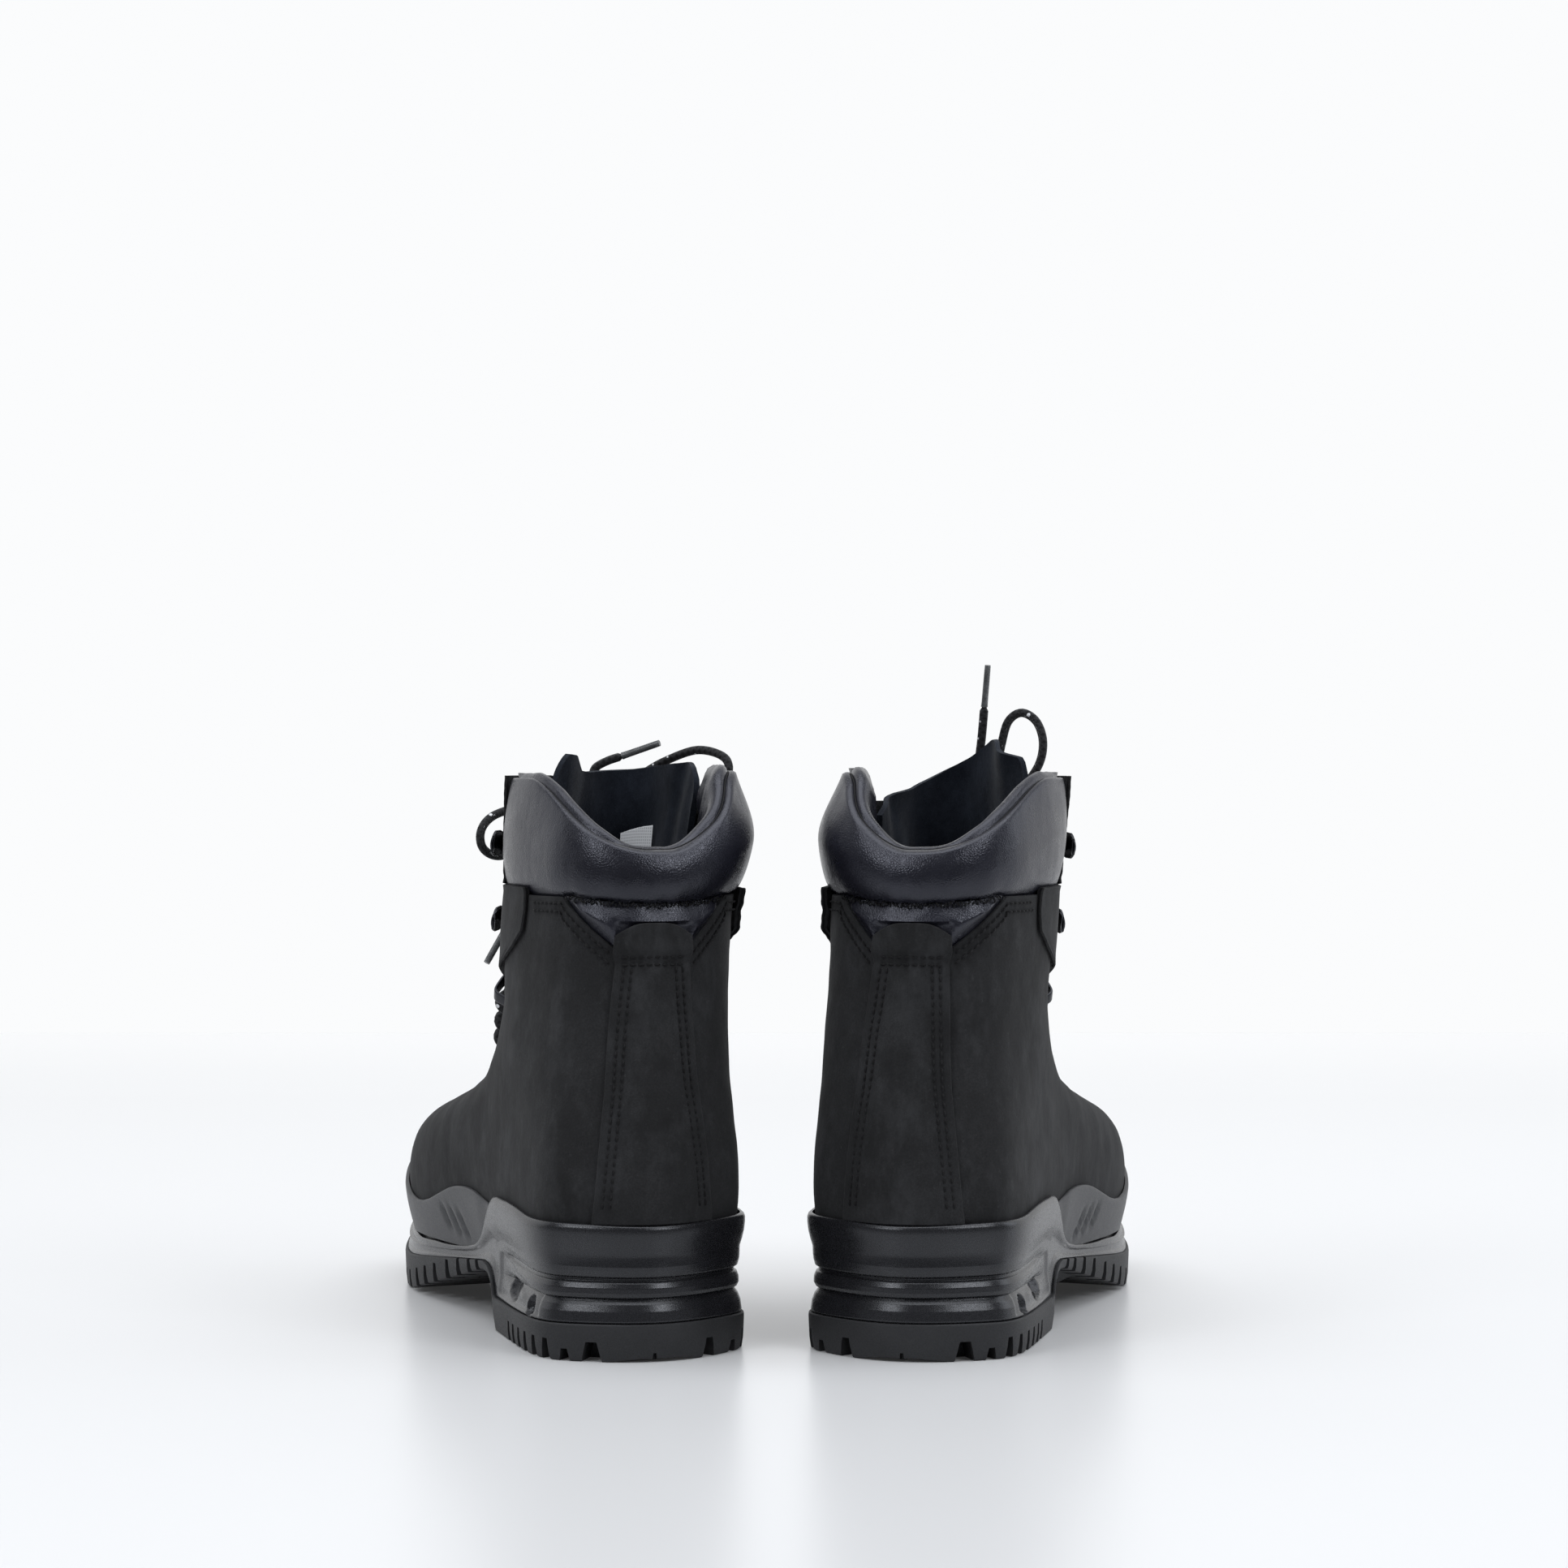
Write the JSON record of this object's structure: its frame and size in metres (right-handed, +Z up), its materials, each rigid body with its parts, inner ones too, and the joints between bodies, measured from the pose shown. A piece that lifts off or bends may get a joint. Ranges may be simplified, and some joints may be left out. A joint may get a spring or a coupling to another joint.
{
  "type": "pair of hiking boots",
  "caption": "Pair of ankle-high lace-up hiking boots with lugged soles, padded collars, speed hooks, lace rings and tied laces, toes turned out.",
  "frame": {"origin": "middle of the pair's footprint on the floor (free lace loops and ends left out)", "axes": "+Z up from the soles, +Y the way the toes point on average, +X from the left boot to the right one"},
  "size_m": [0.3108, 0.2946, 0.2608],
  "materials": {
    "aglet_plastic": "smoky shrink tube",
    "board": "pressed fibre board",
    "footbed_felt": "felt over foam",
    "lace_textile": "braided round lace",
    "lining_textile": "matt woven lining on foam",
    "midsole_pu": "satin moulded polyurethane",
    "nubuck": "matte buffed nubuck",
    "outsole_rubber": "matte lugged rubber",
    "polished_metal": "polished plated steel",
    "rand_rubber": "satin rubber, creased",
    "smooth_leather": "satin full-grain leather",
    "spring_steel": "bare spring steel",
    "stiffener": "thermoplastic stiffener",
    "suede": "fuzzy suede"
  },
  "bodies": {
    "left_boot": {"left_outsole": "outsole_rubber", "left_midsole": "midsole_pu", "left_insole_board": "board", "left_footbed": "footbed_felt", "left_shank": "spring_steel", "left_upper": "nubuck", "left_lining": "lining_textile", "left_collar": "smooth_leather", "left_achilles_panel": "smooth_leather", "left_backstay": "nubuck", "left_heel_counter": "stiffener", "left_toe_puff": "stiffener", "left_rand": "rand_rubber", "left_facing_outer": "nubuck", "left_facing_inner": "nubuck", "left_lace": "lace_textile", "left_lace_loop_1": "lace_textile", "left_lace_loop_2": "lace_textile", "left_lace_end_1": "lace_textile", "left_lace_end_2": "lace_textile", "left_aglet_1": "aglet_plastic", "left_aglet_2": "aglet_plastic"},
    "left_tongue": {"left_tongue": "suede"},
    "left_outer_ring_1": {"left_outer_ring_1": "polished_metal"},
    "left_outer_ring_2": {"left_outer_ring_2": "polished_metal"},
    "left_outer_ring_3": {"left_outer_ring_3": "polished_metal"},
    "left_inner_ring_1": {"left_inner_ring_1": "polished_metal"},
    "left_inner_ring_2": {"left_inner_ring_2": "polished_metal"},
    "left_inner_ring_3": {"left_inner_ring_3": "polished_metal"},
    "right_boot": {"right_outsole": "outsole_rubber", "right_midsole": "midsole_pu", "right_insole_board": "board", "right_footbed": "footbed_felt", "right_shank": "spring_steel", "right_upper": "nubuck", "right_lining": "lining_textile", "right_collar": "smooth_leather", "right_achilles_panel": "smooth_leather", "right_backstay": "nubuck", "right_heel_counter": "stiffener", "right_toe_puff": "stiffener", "right_rand": "rand_rubber", "right_facing_outer": "nubuck", "right_facing_inner": "nubuck", "right_lace": "lace_textile", "right_lace_loop_1": "lace_textile", "right_lace_loop_2": "lace_textile", "right_lace_end_1": "lace_textile", "right_lace_end_2": "lace_textile", "right_aglet_1": "aglet_plastic", "right_aglet_2": "aglet_plastic"},
    "right_tongue": {"right_tongue": "suede"},
    "right_outer_ring_1": {"right_outer_ring_1": "polished_metal"},
    "right_outer_ring_2": {"right_outer_ring_2": "polished_metal"},
    "right_outer_ring_3": {"right_outer_ring_3": "polished_metal"},
    "right_inner_ring_1": {"right_inner_ring_1": "polished_metal"},
    "right_inner_ring_2": {"right_inner_ring_2": "polished_metal"},
    "right_inner_ring_3": {"right_inner_ring_3": "polished_metal"}
  },
  "joints": [
    {"name": "right_boot_lift", "type": "slide", "parent": "left_boot", "child": "right_boot", "axis": [0, 0, 1], "range_m": [0, 0.3]},
    {"name": "left_tongue_fold", "type": "hinge", "parent": "left_boot", "child": "left_tongue", "pos_m": [-0.09794, 0.05249, 0.08692], "axis": [0.9455, 0.3256, 0], "range_deg": [0, 3]},
    {"name": "left_outer_ring_1_swing", "type": "hinge", "parent": "left_boot", "child": "left_outer_ring_1", "pos_m": [-0.10909, 0.02084, 0.10059], "axis": [0.2559, -0.8582, 0.445], "range_deg": [0, 6]},
    {"name": "left_outer_ring_2_swing", "type": "hinge", "parent": "left_boot", "child": "left_outer_ring_2", "pos_m": [-0.10594, 0.00556, 0.1083], "axis": [0.163, -0.8406, 0.5166], "range_deg": [0, 6]},
    {"name": "left_outer_ring_3_swing", "type": "hinge", "parent": "left_boot", "child": "left_outer_ring_3", "pos_m": [-0.104, -0.008, 0.11694], "axis": [0.084, -0.8249, 0.5589], "range_deg": [0, 6]},
    {"name": "left_inner_ring_1_swing", "type": "hinge", "parent": "left_boot", "child": "left_inner_ring_1", "pos_m": [-0.071, 0.03247, 0.10002], "axis": [-0.3067, 0.8423, -0.4431], "range_deg": [0, 6]},
    {"name": "left_inner_ring_2_swing", "type": "hinge", "parent": "left_boot", "child": "left_inner_ring_2", "pos_m": [-0.06426, 0.01818, 0.10748], "axis": [-0.3884, 0.7641, -0.5151], "range_deg": [0, 6]},
    {"name": "left_inner_ring_3_swing", "type": "hinge", "parent": "left_boot", "child": "left_inner_ring_3", "pos_m": [-0.05724, 0.00603, 0.116], "axis": [-0.4451, 0.7057, -0.5512], "range_deg": [0, 6]},
    {"name": "right_tongue_fold", "type": "hinge", "parent": "right_boot", "child": "right_tongue", "pos_m": [0.0997, 0.055, 0.08692], "axis": [0.9593, -0.2823, 0], "range_deg": [0, 3]},
    {"name": "right_outer_ring_1_swing", "type": "hinge", "parent": "right_boot", "child": "right_outer_ring_1", "pos_m": [0.11228, 0.02389, 0.10058], "axis": [0.2135, 0.8698, -0.4448], "range_deg": [0, 6]},
    {"name": "right_outer_ring_2_swing", "type": "hinge", "parent": "right_boot", "child": "right_outer_ring_2", "pos_m": [0.10999, 0.0085, 0.10824], "axis": [0.1103, 0.8496, -0.5157], "range_deg": [0, 6]},
    {"name": "right_outer_ring_3_swing", "type": "hinge", "parent": "right_boot", "child": "right_outer_ring_3", "pos_m": [0.10906, -0.00519, 0.11678], "axis": [0.0159, 0.8313, -0.5557], "range_deg": [0, 6]},
    {"name": "right_inner_ring_1_swing", "type": "hinge", "parent": "right_boot", "child": "right_inner_ring_1", "pos_m": [0.07371, 0.03376, 0.10003], "axis": [-0.2649, -0.8563, 0.4433], "range_deg": [0, 6]},
    {"name": "right_inner_ring_2_swing", "type": "hinge", "parent": "right_boot", "child": "right_inner_ring_2", "pos_m": [0.06775, 0.01908, 0.10756], "axis": [-0.3397, -0.7866, 0.5156], "range_deg": [0, 6]},
    {"name": "right_inner_ring_3_swing", "type": "hinge", "parent": "right_boot", "child": "right_inner_ring_3", "pos_m": [0.06165, 0.00648, 0.1162], "axis": [-0.3845, -0.7387, 0.5536], "range_deg": [0, 6]}
  ]
}
